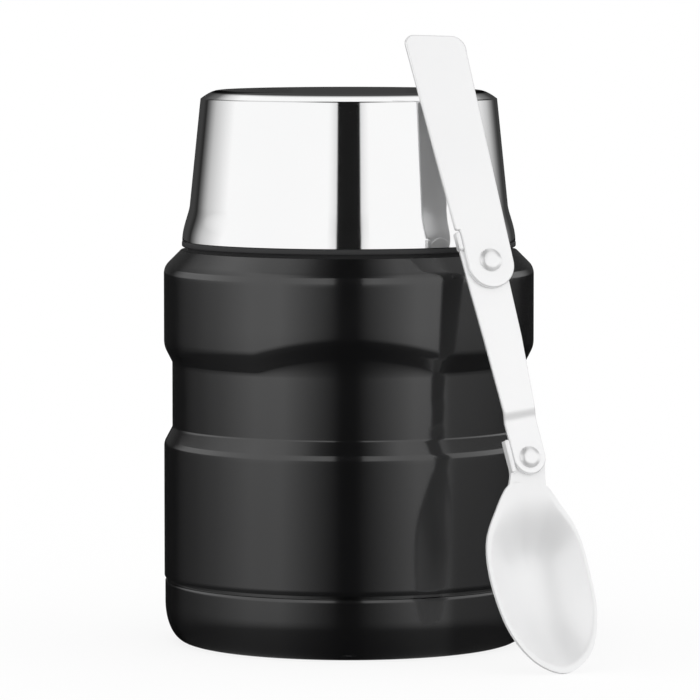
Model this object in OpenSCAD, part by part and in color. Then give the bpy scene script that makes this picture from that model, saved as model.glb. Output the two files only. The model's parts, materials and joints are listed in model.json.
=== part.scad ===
// Wide-mouth vacuum food jar with a screw stopper, a serving-bowl lid and a folding spoon.
// Millimetres. +Z is up, the origin is on the jar's axis in the plane that it stands on,
// and -Y is the front, where the waist's upper edge rises in an arch.

/* [Jar body] */
// Outer diameter of the two bands
band_d = 94; // [88:0.5:110]
// How far the waist lies inside the bands
waist_depth = 2.1; // [1:0.1:3]
// How far the shoulder's rim lies inside the bands
rim_depth = 4.3; // [3.5:0.1:6]
// Height of the flat shoulder that the lid's ring sits on
shoulder_z = 99.5; // [96:0.1:110]
// Height of the waist's lower crease
waist_low_z = 54.6; // [45:0.1:58]
// Height of the waist's upper crease, away from the arch
waist_high_z = 71.1; // [66:0.1:76]
// Sheet of the outer shell
shell_wall = 0.8; // [0.5:0.1:1.2]
// Rise of the waist's upper edge at the front
arch_rise = 3.7; // [1:0.1:6]
// Half width of that arch, as an angle round the jar
arch_half_angle = 30; // [20:1:40]

/* [Base cup] */
// Height of the base cup's upper edge
base_top_z = 15.6; // [12:0.1:20]
// Width of the groove between the base cup and the shell
groove_gap = 0.8; // [0.4:0.1:1.5]
// Sheet of the base cup
base_wall = 0.9; // [0.6:0.1:1.2]
// Height of the rounded lower corner
corner_h = 10; // [6:0.5:12]
// Radial width of the rounded lower corner
corner_w = 5.3; // [3:0.1:7]
// Width of the flat foot ring
foot_w = 5.5; // [3:0.1:8]
// Depth of the hollow inside the foot ring
foot_hollow = 1.6; // [0.8:0.1:2.5]

/* [Food vessel] */
// Vacuum space between the vessel and the waist
vacuum_gap = 2.4; // [1:0.1:6]
// Vacuum space under the vessel
floor_gap = 4; // [2.5:0.1:8]
// Vacuum space in the neck
neck_gap = 1; // [0.6:0.1:1.5]
// Height of the neck above the shoulder
neck_h = 16.7; // [14:0.1:20]
// Sheet of the vessel
vessel_wall = 0.7; // [0.5:0.1:0.8]

/* [Stopper] */
// Wall of the threaded skirt
skirt_wall = 1.3; // [1:0.1:1.5]
// Thickness of the seal between the lip and the deck
seal_h = 1.5; // [1:0.1:2]
// Height of the grip drum above the stopper's deck
drum_h = 13.3; // [11:0.1:20]
// Radial step from the deck's edge in to the drum
deck_step = 1.4; // [0.8:0.1:2.5]
// Depth that the plug reaches below the deck
plug_depth = 20.2; // [14:0.1:24]
// Rim between the spoon tray and the drum's edge
tray_rim = 1.8; // [1.5:0.1:5]
// Inner width of the spoon tray
tray_w = 28.4; // [24:0.1:36]
// Depth of the spoon tray
tray_depth = 11.5; // [9:0.1:12]
// Number of finger flutes round the stopper
flutes = 20; // [12:1:28]

/* [Lid] */
// Room between the stopper's top and the lid's inner bowl
head_room = 4.7; // [3:0.1:12]
// Draft of the lid's wall, in degrees
lid_draft = 5.85; // [4:0.05:8]
// Width of the top bevel
bevel_w = 3.6; // [1.5:0.1:5]
// Height of the top bevel
bevel_h = 2.1; // [1:0.1:2.5]
// Height of the flare at the lid's lower edge
flare_h = 9.2; // [7.5:0.1:12]
// Height of the seat ring under the lid
ring_h = 2.3; // [1.5:0.1:3]
// Sheet of the lid and of its inner bowl
lid_wall = 0.8; // [0.5:0.1:0.9]
// Air space between the lid and its inner bowl
lid_air = 0.9; // [0.6:0.1:1]
// Height of the threaded collar inside the lid
collar_h = 6.7; // [5:0.1:7]
// Thickness of that collar at the lid's edge
collar_wall = 2.55; // [2:0.05:3]

/* [Spoon] */
// Sheet of the spoon
sheet = 1.1; // [0.8:0.1:1.2]
// Play between the folding layers
play = 0.06; // [0.03:0.01:0.1]
// Radius of the rivets' shanks
shank_r = 1.6; // [1.2:0.1:1.8]
// Radius of the upper rivet's head
upper_head_r = 2.9; // [2.2:0.1:3.2]
// Radius of the lower rivet's head
lower_head_r = 2.7; // [2.2:0.1:3]
// Height of the rivets' heads
head_h = 0.9; // [0.5:0.1:1]
// Depth of the bowl
bowl_depth = 7; // [5:0.2:9]
// Distance between the rivets
link_l = 49.7; // [46:0.1:52]
// Upper rivet's offset to the right of the lower one
link_offset = 1.85; // [1:0.05:2.5]
// Radius of the link's lower end
link_end_r = 4.2; // [3.8:0.1:4.6]
// Width of the link below the handle
link_w = 11; // [9:0.1:12]
// Radius of the handle's lower end
handle_end_r = 6.05; // [5.6:0.05:6.1]
// Length of the handle above the upper rivet
handle_l = 59.4; // [50:0.1:62]
// Width of the handle's top end
handle_w = 15.8; // [13:0.1:17]
// Lean of the spoon away from upright
lean = 18.5; // [18:0.1:19]
// Turn of the spoon's face to the right
turn = 20; // [18:0.5:22]
// How far the spoon stands to the side of the point where it would touch squarely
spoon_side = 23.4; // [20:0.1:26]

/* [Hidden] */
$fn = 128;

// clearances
weld = 0.05;            // between sheets that are welded or pressed together
thread_depth = 1.1;     // height of a thread's rib
thread_gap = 0.3;       // between a rib's crest and the wall that it runs along
collar_gap = 0.2;       // the same, in the lid's collar
drum_gap = 0.45;        // between the drum and the lid's inner bowl
lean_gap = 0.1;         // between the spoon and the lid that it leans on
running = 0.05;         // radial play of a rivet in the sheet that turns on it

// jar body
band_r = band_d / 2;
waist_r = band_r - waist_depth;
rim_r = band_r - rim_depth;           // edge of the shoulder's flat
high_slope = 27;                      // lean of the waist's upper edge
low_slope = 28;                       // lean of the waist's lower edge
high_round = 6;
low_round = 7;
shoulder_round = 6;
high_start_z = waist_high_z
    + (waist_depth - high_round * (1 - cos(high_slope))) / tan(high_slope)
    + high_round * sin(high_slope);
low_start_z = waist_low_z
    - (waist_depth - low_round * (1 - cos(low_slope))) / tan(low_slope)
    - low_round * sin(low_slope);
shoulder_start_z = shoulder_z + rim_r - band_r + shoulder_round * (1 - sqrt(2));
shell_low_z = base_top_z + groove_gap;
// the arch is cut by the same slope turned round an axis that lies further back
arch_shift = arch_rise * tan(high_slope) / (1 - cos(arch_half_angle));
arch_top_z = high_start_z + arch_rise + 1;
edge_slope = 6;                       // what is left of the slope where it meets the band

// base cup and vacuum base
base_r = band_r - 0.2;
foot_out_r = base_r - corner_w;
foot_in_r = foot_out_r - foot_w;
tail_r = base_r - base_wall - 0.1;    // the shell's narrow end inside the base cup
tail_z = corner_h - 1.5;
pan_r = tail_r - shell_wall - weld;   // the vacuum base inside that end
pan_rim_h = 2.5;
pan_z = foot_hollow + base_wall + 1.7;
pan_flat_r = pan_r - 9;
seal_r = 1.2;

// threads, from the lid's edge inwards
lid_rim_r = rim_r - 0.4;
collar_in_r = lid_rim_r - lid_wall - weld - collar_wall;
skirt_out_r = collar_in_r - collar_gap - thread_depth;
skirt_in_r = skirt_out_r - skirt_wall;

// food vessel and neck
neck_r = skirt_in_r - thread_gap - thread_depth;
neck_wall = 0.6;
lip_r = neck_r + 0.2;
lip_z = shoulder_z + neck_h;
mouth_r = neck_r - neck_wall - neck_gap - vessel_wall;
vessel_r = waist_r - shell_wall - vacuum_gap - vessel_wall;
vessel_floor_z = pan_z + shell_wall + floor_gap + vessel_wall;
vessel_round = 8;
vessel_top_z = shoulder_z - 10;
neck_start_z = shoulder_z - 2;
foil_t = 0.2;
getter_h = floor_gap * 0.35;

// stopper
seal_top_z = lip_z + seal_h;
skirt_low_z = shoulder_z + 1.1;
skirt_step_z = shoulder_z + 10.4;
upper_in_r = lip_r + thread_gap;
upper_out_r = upper_in_r + 1.2;
deck_t = 1.5;
deck_top_z = seal_top_z + deck_t;
stopper_top_z = deck_top_z + drum_h;
plug_r = mouth_r - 0.6;
plug_wall = 1.2;
plug_low_z = seal_top_z - plug_depth;
tray_wall = 1.2;
tray_floor_z = stopper_top_z - tray_depth;
drum_r = upper_out_r - deck_step;
tray_l = 2 * (drum_r - tray_rim - tray_wall);
drum_wall = 1.5;
flute_r = 3;

// lid
ring_in_r = skirt_out_r + 2.6;
ring_out_r = lid_rim_r + 0.1;
lid_low_z = shoulder_z + ring_h;
flare_z = lid_low_z + flare_h;
collar_top_z = lid_low_z + collar_h;
bowl_floor_z = stopper_top_z + head_room + lid_wall;
total_h = bowl_floor_z + lid_air + 0.3 + lid_wall;
bevel_z = total_h - bevel_h;
lid_top_r = drum_r + drum_gap + 2 * lid_wall + lid_air - tan(lid_draft) * (bevel_z - stopper_top_z);
lid_wall_r = lid_top_r + tan(lid_draft) * (bevel_z - flare_z);
bowl_round = 4;

// spoon: the layers, counted from the back of the bowl's rim towards the front
layer = sheet + play;
link_low_at = layer;
link_high_at = 2 * layer;
handle_at = 3 * layer;
joggle_y = 9.6;                       // where the link begins to step forward
joggle_l = 1.8;
joggle_back = 0.5;                    // how much earlier the front face steps
tilt = 8;                             // of the bowl and the link in the spoon's own plane
stem_r = link_end_r + running;
stem_top_y = 5.2;
stem_round = 3;
tab_t = 1.15;
lower_tab_y = [-3, 5.2];
upper_tab_y = [3.7, 8.3];
bowl_centre = [-4.4, -31];
// the bowl's outline, clockwise; its first three points lie where the stem meets it
bowl_rim = [[-6.6, -5.6], [-1.7, -6.2], [2.8, -7.5], [5, -12], [8, -20], [8.5, -30], [7.6, -41],
    [3.5, -50], [-4, -53.7], [-11.3, -49.5], [-16, -40.5], [-17.4, -28.5], [-16, -18.5],
    [-11.6, -11.2]];
rim_steps = 3;                        // spline steps between two rim points
neck_cells = 2 * rim_steps;           // steps across the neck
bowl_rings = [0.2, 0.4, 0.57, 0.7, 0.79, 0.86, 0.93, 1];
hollow_top = -5;                      // height in the spoon's plane where the hollow begins
neck_run = 10;                        // length over which the hollow deepens below that
hollow_power = 2.2;                   // 2 for a round hollow, more for a flatter floor

// ---- helpers ----
function arc(c, r, from, to, n = 8) =
    [for (i = [0:n]) let (a = from + (to - from) * i / n) [c[0] + r * cos(a), c[1] + r * sin(a)]];

// a point of a smooth curve that runs through b and c, with neighbours a and d
function spline(a, b, c, d, t) =
    0.5 * (2 * b + (c - a) * t + (2 * a - 5 * b + 4 * c - d) * t * t
    + (3 * b - a - 3 * c + d) * t * t * t);

module revolve(points) rotate_extrude() polygon(points);

module tube(r_out, r_in, z0, z1)
    translate([0, 0, z0]) difference() {
        cylinder(r = r_out, h = z1 - z0);
        translate([0, 0, -1]) cylinder(r = r_in, h = z1 - z0 + 2);
    }

module stadium(l, w, h)
    linear_extrude(h) {
        for (s = [-1, 1]) translate([s * (l - w) / 2, 0]) circle(d = w);
        square([l - w, w], center = true);
    }

// ---- jar body ----
// Outline of the jar above its groove, set inwards by i
function jar_outline(i, low_z) = concat(
    [[0, low_z], [band_r - i, low_z]],
    arc([band_r - low_round, low_start_z], low_round - i, 0, low_slope),
    [[waist_r - i, waist_low_z - i * tan(low_slope / 2)]],
    [[waist_r - i, waist_high_z + i * tan(high_slope / 2)]],
    arc([band_r - high_round, high_start_z], high_round - i, -high_slope, 0, 6),
    arc([band_r - shoulder_round, shoulder_start_z], shoulder_round - i, 0, 45),
    [[rim_r - i * tan(22.5), shoulder_z - i], [0, shoulder_z - i]]);

// Form inside the arched slope, set inwards by i
module arched_form(i) {
    foot_z = waist_high_z + arch_rise + i * tan(high_slope / 2);
    down = arch_rise + 2;
    far = band_r + 5;
    curve = arc([band_r - high_round, high_start_z + arch_rise], high_round - i,
        -high_slope, -edge_slope, 5);
    translate([0, arch_shift, 0]) revolve([for (p = concat(
        [[-arch_shift, foot_z - down], [waist_r - i - down * tan(high_slope), foot_z - down]],
        curve, [[far, curve[5][1] + (far - curve[5][0]) / tan(edge_slope)]],
        [[-arch_shift, curve[5][1] + (far - curve[5][0]) / tan(edge_slope)]]))
        [p[0] + arch_shift, p[1]]]);
}

// What the arch takes from the band, before the waist is put back
module arch_cut(i)
    difference() {
        translate([-band_r, -band_r - 1, waist_high_z])
            cube([2 * band_r, 0.6 * band_r, arch_top_z - waist_high_z]);
        arched_form(i);
    }

module jar_form(i, low_z) {
    difference() {
        revolve(jar_outline(i, low_z));
        arch_cut(i);
    }
    translate([0, 0, waist_high_z - 1]) cylinder(r = waist_r - i, h = arch_top_z - waist_high_z + 1);
}

module outer_shell() color("#1c1c1e")
    difference() {
        union() {
            jar_form(0, shell_low_z);
            translate([0, 0, tail_z]) cylinder(r = tail_r, h = shell_low_z - tail_z + shell_wall);
        }
        jar_form(shell_wall, shell_low_z + shell_wall);
        translate([0, 0, tail_z - 1])
            cylinder(r = tail_r - shell_wall, h = shell_low_z - tail_z + shell_wall + 2);
        translate([0, 0, shoulder_z - 2 * shell_wall]) cylinder(r = neck_r + weld, h = 3);
    }

// The rounded lower corner, set inwards by i
function corner(i, n = 8) = [for (k = [0:n]) let (a = -90 + 90 * k / n)
    [foot_out_r + (corner_w - i) * cos(a), corner_h + (corner_h - i) * sin(a)]];

module shell_base() color("#18181a") {
    slope = foot_hollow;
    edge = 0.3;
    revolve(concat(
        [[0, foot_hollow], [foot_in_r - slope, foot_hollow], [foot_in_r, 0]],
        corner(0),
        [[base_r, base_top_z - edge], [base_r - edge, base_top_z],
         [base_r - base_wall, base_top_z]],
        [for (k = [8:-1:0]) corner(base_wall)[k]],
        [[foot_in_r + base_wall / 2, base_wall],
         [foot_in_r + base_wall / 2 - slope, foot_hollow + base_wall],
         [0, foot_hollow + base_wall]]));
}

module threaded_neck() color("#c9cbce")
    tube(neck_r, neck_r - neck_wall, shoulder_z - shell_wall, lip_z - vessel_wall);

// Inside of the food vessel, set outwards by i
function vessel_outline(i) = concat(
    [[0, vessel_floor_z - i]],
    arc([vessel_r - vessel_round, vessel_floor_z + vessel_round], vessel_round + i, -90, 0),
    [[vessel_r + i, vessel_top_z], [mouth_r + i, neck_start_z]],
    [[mouth_r + i, lip_z + 1], [0, lip_z + 1]]);

module inner_liner() color("#d2d4d7")
    difference() {
        union() {
            intersection() {
                revolve(vessel_outline(vessel_wall));
                cylinder(r = band_r, h = lip_z);
            }
            translate([0, 0, lip_z - vessel_wall]) cylinder(r = lip_r, h = vessel_wall);
        }
        revolve(vessel_outline(0));
    }

module vacuum_base() color("#b9bbbe") {
    rise_z = tail_z + 0.5;
    w = shell_wall;
    difference() {
        revolve([[0, pan_z], [pan_flat_r, pan_z], [pan_r - 1.5, rise_z], [pan_r, rise_z],
            [pan_r, rise_z + pan_rim_h], [pan_r - w, rise_z + pan_rim_h],
            [pan_r - w, rise_z + w], [pan_r - 1.5 - w / 2, rise_z + w],
            [pan_flat_r - w / 2, pan_z + w], [0, pan_z + w]]);
        translate([0, 0, pan_z - 1]) cylinder(r = seal_r, h = w + 2);
    }
}

module vacuum_seal() color("#b08d57")
    revolve([[0, pan_z - 0.9], [1.6, pan_z - 0.7], [2.4, pan_z], [seal_r, pan_z],
        [seal_r, pan_z + shell_wall], [0, pan_z + shell_wall]]);

module getter() color("#8f9296")
    translate([18, 0, pan_z + shell_wall]) tube(4, 2, 0, getter_h);

module radiation_foil() color("#d8a878") {
    r = vessel_r + vessel_wall + weld;
    tube(r + foil_t, r, vessel_floor_z + vessel_round, vessel_top_z - 2);
}

// ---- stopper ----
module stopper_gasket() color("#e6e6e3")
    revolve([[plug_r + 0.4, lip_z], [lip_r - 0.1, lip_z], [lip_r - 0.1, seal_top_z],
        [plug_r + 0.4, seal_top_z]]);

module stopper_cap() color("#232325")
    difference() {
        revolve([[skirt_in_r, skirt_low_z], [skirt_out_r, skirt_low_z],
            [skirt_out_r, skirt_step_z], [upper_out_r, skirt_step_z + 1],
            [upper_out_r, deck_top_z - 0.8], [upper_out_r - 0.8, deck_top_z],
            [drum_r, deck_top_z], [drum_r, stopper_top_z - 1], [drum_r - 1, stopper_top_z],
            [0, stopper_top_z], [0, stopper_top_z - drum_wall],
            [drum_r - drum_wall, stopper_top_z - drum_wall], [drum_r - drum_wall, deck_top_z],
            [plug_r - 1, deck_top_z], [plug_r - 1, seal_top_z], [upper_in_r, seal_top_z],
            [upper_in_r, skirt_step_z + 0.7], [skirt_in_r, skirt_step_z]]);
        translate([0, 0, stopper_top_z - drum_wall - 1])
            stadium(tray_l + 2 * (tray_wall + weld), tray_w + 2 * (tray_wall + weld), drum_wall + 2);
        for (k = [0:flutes - 1]) rotate((k + 0.5) * 360 / flutes)
            translate([drum_r + flute_r - 0.6, 0, deck_top_z + 1.5]) cylinder(r = flute_r, h = 20);
    }

module stopper_tray() color("#3a3a3d")
    difference() {
        translate([0, 0, tray_floor_z - tray_wall])
            stadium(tray_l + 2 * tray_wall, tray_w + 2 * tray_wall, tray_depth + tray_wall);
        translate([0, 0, tray_floor_z]) stadium(tray_l, tray_w, tray_depth + 1);
    }

module stopper_plug() color("#2c2c2f") {
    corner_r = 2.5;
    difference() {
        revolve(concat([[0, plug_low_z]],
            arc([plug_r - corner_r, plug_low_z + corner_r], corner_r, -90, 0),
            [[plug_r, seal_top_z], [0, seal_top_z]]));
        translate([0, 0, plug_low_z + plug_wall])
            cylinder(r = plug_r - plug_wall, h = plug_depth);
    }
}

module stopper_foam() color("#efe8cf")
    translate([0, 0, plug_low_z + plug_wall])
        cylinder(r = plug_r - plug_wall - 0.1, h = tray_floor_z - tray_wall - plug_low_z - plug_wall - 0.1);

// ---- lid ----
module cup_ring() color("#2a2a2c")
    revolve([[ring_in_r, shoulder_z], [ring_out_r, shoulder_z],
        [ring_out_r, lid_low_z], [ring_in_r, lid_low_z]]);

// Outer radius of the lid at a height below its bevel
function lid_line(z) = lid_wall_r + (lid_top_r - lid_wall_r) * (z - flare_z) / (bevel_z - flare_z);
function lid_r(z) = z >= flare_z ? lid_line(z)
    : lid_wall_r + (lid_rim_r - lid_wall_r) * pow(sin(90 * (flare_z - z) / (flare_z - lid_low_z)), 1.4);

function flare(i, from, to, n = 7) = [for (k = [0:n])
    let (z = from + (to - from) * k / n) [lid_r(z) - i, z]];

function lid_outline(i) = concat(
    [[0, lid_low_z - (i > 0 ? 1 : 0)], [lid_rim_r - i, lid_low_z - (i > 0 ? 1 : 0)]],
    flare(i, lid_low_z, flare_z),
    [[lid_top_r - i, bevel_z - 0.55 * i], [lid_top_r - bevel_w - 0.27 * i, total_h - i],
     [0, total_h - i]]);

module cup_shell() color("#d9dadc")
    difference() {
        revolve(lid_outline(0));
        revolve(lid_outline(lid_wall));
    }

// Outside of the inner bowl, set inwards by i
function inner_bowl(i) = let (gap = lid_wall + lid_air, r = lid_line(bowl_floor_z) - gap)
    concat([[0, collar_top_z + (i > 0 ? -1 : lid_wall)]],
        [[lid_line(collar_top_z) - gap - i, collar_top_z + (i > 0 ? -1 : lid_wall)]],
        arc([r - bowl_round, bowl_floor_z - bowl_round], bowl_round - i, 0, 90),
        [[0, bowl_floor_z - i]]);

module cup_liner() color("#cfd1d4")
    difference() {
        union() {
            revolve(inner_bowl(0));
            translate([0, 0, collar_top_z])
                cylinder(r = lid_r(collar_top_z + lid_wall) - lid_wall - weld, h = lid_wall);
        }
        revolve(inner_bowl(lid_wall));
    }

module cup_collar() color("#202022")
    revolve(concat([[collar_in_r, lid_low_z]],
        flare(lid_wall + weld, lid_low_z, collar_top_z, 5),
        [[collar_in_r, collar_top_z]]));

// ---- spoon ----
module in_spoon() translate(spoon_at) rotate([90 - lean, 0, turn]) rotate(tilt) children();

function rim_point(k) = bowl_rim[(k + len(bowl_rim)) % len(bowl_rim)];

// Outline of the bowl, clockwise from the neck's left end
bowl_loop = [for (k = [0:len(bowl_rim) - 1]) for (s = [0:rim_steps - 1])
    spline(rim_point(k - 1), rim_point(k), rim_point(k + 1), rim_point(k + 2), s / rim_steps)];

// Rows of the flat stem above the neck: left end, right end
stem_left = -stem_r - tab_t;
stem_rows = concat(
    [[[-6.15, -4.85], [3, -5.8]], [[-5.85, -4], [3.5, -4]]],
    [for (y = [-2.5, 0]) [[stem_left, y], [stem_r + 0.14 * y, y]]],
    [for (p = arc([stem_r - stem_round, stem_top_y - stem_round], stem_round, 0, 90, 3))
        [[stem_left, p[1]], p]]);

// The back of the sheet at the lower rivet: the bowl's rim stands on the ground and the plane of
// the handle's back passes the lid's bevel at the lean gap
spoon_z = -cos(lean) * min([for (p = bowl_loop) p[0] * sin(tilt) + p[1] * cos(tilt)]);
plane_d = lid_top_r * cos(lean) + bevel_z * sin(lean) + lean_gap - handle_at;
spoon_out = (plane_d - spoon_z * sin(lean)) / cos(lean);
spoon_at = [sin(turn) * spoon_out + cos(turn) * spoon_side,
    -cos(turn) * spoon_out + sin(turn) * spoon_side, spoon_z];

// Depth of the hollow at a height y on the ring q
function dish(y, q) = let (t = min(max((hollow_top - y) / neck_run, 0), 1))
    bowl_depth * (1 - pow(q, hollow_power)) * t * t * (3 - 2 * t);

// Bowl and stem in one sheet: rings about the bowl's middle, and rows up the stem
module bowl_sheet() {
    n = len(bowl_loop);
    m = len(bowl_rings);
    rows = len(stem_rows);
    stem_first = 2 + 2 * m * n;
    function place(p, q, z) = let (v = bowl_centre + (p - bowl_centre) * q)
        [v[0], v[1], z - dish(v[1], q)];
    points = concat(
        [for (z = [sheet, 0]) [bowl_centre[0], bowl_centre[1], z - bowl_depth]],
        [for (z = [sheet, 0]) for (q = bowl_rings) for (p = bowl_loop) place(p, q, z)],
        [for (z = [sheet, 0]) for (r = stem_rows) for (i = [0:neck_cells])
            let (v = r[0] + (r[1] - r[0]) * i / neck_cells) [v[0], v[1], z]]);
    // a point of a ring, and of a row; row 0 is the neck's part of the rim
    function at(side, k, j) = 2 + (side * m + k) * n + j % n;
    function on(side, row, i) = row == 0 ? at(side, m - 1, i)
        : stem_first + (side * rows + row - 1) * (neck_cells + 1) + i;
    edge = concat(
        [for (j = [neck_cells:n - 1]) [for (side = [0, 1]) [at(side, m - 1, j), at(side, m - 1, j + 1)]]],
        [for (r = [0:rows - 1]) [for (side = [0, 1]) [on(side, r, 0), on(side, r + 1, 0)]]],
        [for (i = [0:neck_cells - 1]) [for (side = [0, 1]) [on(side, rows, i), on(side, rows, i + 1)]]],
        [for (r = [rows:-1:1]) [for (side = [0, 1])
            [on(side, r, neck_cells), on(side, r - 1, neck_cells)]]]);
    faces = concat(
        [for (j = [0:n - 1]) each [[0, at(0, 0, j), at(0, 0, j + 1)], [1, at(1, 0, j + 1), at(1, 0, j)]]],
        [for (k = [0:m - 2]) for (j = [0:n - 1]) each [
            [at(0, k, j), at(0, k + 1, j), at(0, k + 1, j + 1)],
            [at(0, k, j), at(0, k + 1, j + 1), at(0, k, j + 1)],
            [at(1, k, j), at(1, k + 1, j + 1), at(1, k + 1, j)],
            [at(1, k, j), at(1, k, j + 1), at(1, k + 1, j + 1)]]],
        [for (r = [0:rows - 1]) for (i = [0:neck_cells - 1]) each [
            [on(0, r, i), on(0, r + 1, i), on(0, r + 1, i + 1)],
            [on(0, r, i), on(0, r + 1, i + 1), on(0, r, i + 1)],
            [on(1, r, i), on(1, r + 1, i + 1), on(1, r + 1, i)],
            [on(1, r, i), on(1, r, i + 1), on(1, r + 1, i + 1)]]],
        [for (e = edge) each [
            [e[0][0], e[1][0], e[1][1]],
            [e[0][0], e[1][1], e[0][1]]]]);
    polyhedron(points, faces);
}

module tab(x_in, ys, from, to) translate([x_in - tab_t, ys[0], from])
    cube([tab_t, ys[1] - ys[0], to - from]);

module spoon_bowl() color("#e4e5e7") in_spoon() {
    edge = 0.04;
    difference() {
        union() {
            bowl_sheet();
            translate([stem_left + edge, lower_tab_y[0] + edge, sheet / 2])
                cube([tab_t - edge, lower_tab_y[1] - lower_tab_y[0] - 2 * edge,
                    link_low_at + sheet + 0.3 - sheet / 2]);
        }
        translate([0, 0, -1]) cylinder(r = shank_r, h = sheet + 2);
    }
}

// A rivet from the back face of one sheet to the front face of another
module rivet(back, front, head_r) {
    tail_h = 0.5;
    crown_r = head_r * 0.72;
    revolve([[0, back - tail_h], [head_r - 0.6, back - tail_h], [head_r - 0.3, back],
        [shank_r, back], [shank_r, front], [head_r, front], [head_r, front + head_h * 0.4],
        [crown_r, front + head_h * 0.75], [crown_r - 0.6, front + head_h], [0, front + head_h]]);
}

module lower_rivet() color("#dcdddf") in_spoon() rivet(0, link_low_at + sheet + play / 2, lower_head_r);

// Outline of the link, with its lower rivet at the origin
function link_outline() = let (
        left = -link_w / 2 + 0.4, right = left + link_w, top = [left + link_w / 2, link_l + 3.4])
    concat(
        arc([0, 0], link_end_r, 180, 360, 16),
        [[link_end_r, joggle_y], [right, link_l - 5]],
        arc(top, link_w / 2, 0, 180, 12),
        [[left, link_l - 5], [-link_end_r, joggle_y]]);

// Side view of the link's sheet, with its step forward, longer and wider than the link
module link_sheet() {
    low_end = -2 * link_end_r;
    high_end = link_l + link_w;
    rotate([90, 0, 90]) translate([0, 0, -link_w]) linear_extrude(2 * link_w)
        polygon([[low_end, link_low_at], [joggle_y, link_low_at],
            [joggle_y + joggle_l, link_high_at], [high_end, link_high_at],
            [high_end, link_high_at + sheet],
            [joggle_y + joggle_l - joggle_back, link_high_at + sheet],
            [joggle_y - joggle_back, link_low_at + sheet], [low_end, link_low_at + sheet]]);
}

upper_at = [link_offset, link_l];
upper_stop_x = -handle_end_r - 0.1;

module spoon_link() color("#e6e7e9") in_spoon()
    difference() {
        union() {
            intersection() {
                linear_extrude(20) polygon(link_outline());
                link_sheet();
            }
            translate(upper_at) {
                tab(upper_stop_x, upper_tab_y, link_high_at, handle_at + sheet + 0.2);
                translate([upper_stop_x - tab_t, upper_tab_y[0], link_high_at])
                    cube([tab_t + 2, upper_tab_y[1] - upper_tab_y[0], sheet]);
            }
        }
        translate([0, 0, -1]) cylinder(r = shank_r + running, h = 20);
        translate([upper_at[0], upper_at[1], 0]) cylinder(r = shank_r, h = 20);
    }

module upper_rivet() color("#dcdddf") in_spoon() translate(upper_at)
    rivet(link_high_at, handle_at + sheet + play / 2, upper_head_r);

// Outline of the handle, with the upper rivet at the origin
function handle_outline() = let (
        notch_y = upper_tab_y[1] + 0.3, left_low = upper_stop_x - tab_t + 0.1,
        end_y = -0.9, slant = 1.6, side = 0.5, left_r = 2.3, right_r = 3.9,
        left_top = [-handle_w / 2 - side, handle_l],
        right_top = [handle_w / 2 - side, handle_l - slant],
        fall = atan(slant / handle_w))
    concat(
        arc([0, end_y], handle_end_r, 180, 360, 16),
        arc([right_top[0] - right_r, right_top[1] - right_r], right_r, 0, 90 - fall, 6),
        arc([left_top[0] + left_r, left_top[1] - left_r], left_r, 90 - fall, 180, 6),
        [[left_low, notch_y], [-handle_end_r, notch_y]]);

module spoon_handle() color("#e8e9ea") in_spoon() translate(upper_at)
    translate([0, 0, handle_at]) rotate(-0.5) difference() {
        linear_extrude(sheet) polygon(handle_outline());
        translate([0, 0, -1]) cylinder(r = shank_r + running, h = sheet + 2);
    }

outer_shell();
shell_base();
threaded_neck();
inner_liner();
vacuum_base();
vacuum_seal();
getter();
radiation_foil();
stopper_gasket();
stopper_cap();
stopper_tray();
stopper_plug();
stopper_foam();
cup_ring();
cup_shell();
cup_liner();
cup_collar();
spoon_bowl();
lower_rivet();
spoon_link();
upper_rivet();
spoon_handle();
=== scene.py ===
# %% [markdown]
# # An insulated food jar with a folding spoon
# The jar stands on a pale floor: a glossy near-black vacuum body with a waist, a mirror-polished
# steel cup screwed over its stopper, and a folding steel spoon that leans on the cup. The packed
# model gives every piece its place. This script dresses it: shapes that need finer surfaces than
# the solids have are modelled again in their places, and every surface gets its own finish.

# %% Load the frame
import math

import bpy
from mathutils import Matrix, Vector
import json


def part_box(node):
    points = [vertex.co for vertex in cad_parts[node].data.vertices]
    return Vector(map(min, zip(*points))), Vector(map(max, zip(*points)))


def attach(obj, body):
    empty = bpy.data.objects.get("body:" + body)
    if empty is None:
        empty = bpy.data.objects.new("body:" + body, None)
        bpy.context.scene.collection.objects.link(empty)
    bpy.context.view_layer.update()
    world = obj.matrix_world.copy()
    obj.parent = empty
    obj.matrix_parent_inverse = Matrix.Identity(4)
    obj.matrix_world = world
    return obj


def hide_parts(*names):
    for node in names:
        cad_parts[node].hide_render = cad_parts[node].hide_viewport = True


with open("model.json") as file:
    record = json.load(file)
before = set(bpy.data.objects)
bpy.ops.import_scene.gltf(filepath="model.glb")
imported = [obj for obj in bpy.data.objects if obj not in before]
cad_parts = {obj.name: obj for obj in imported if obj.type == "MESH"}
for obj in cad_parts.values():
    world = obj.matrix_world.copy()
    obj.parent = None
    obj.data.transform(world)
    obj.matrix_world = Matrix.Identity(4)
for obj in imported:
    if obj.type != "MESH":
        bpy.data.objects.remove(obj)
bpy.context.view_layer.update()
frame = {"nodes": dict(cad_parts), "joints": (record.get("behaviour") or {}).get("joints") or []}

# %% [markdown]
# ## Camera
# The jar is seen from the front through a long lens, a little above its middle and tipped down
# by about four degrees, so its rims are narrow ellipses. A long lens far away keeps the upright
# lines parallel. A short lens close by would widen the lid, so it isn't used.

# %% Camera
MM = 0.001
CAMERA_AT = Vector((0.3, -1335.0, 174.5)) * MM
LOOKS_AT = Vector((0.3, 0.0, 73.9)) * MM
LENS_SCALE = 5262 / 700            # focal length in widths of the render

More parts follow.
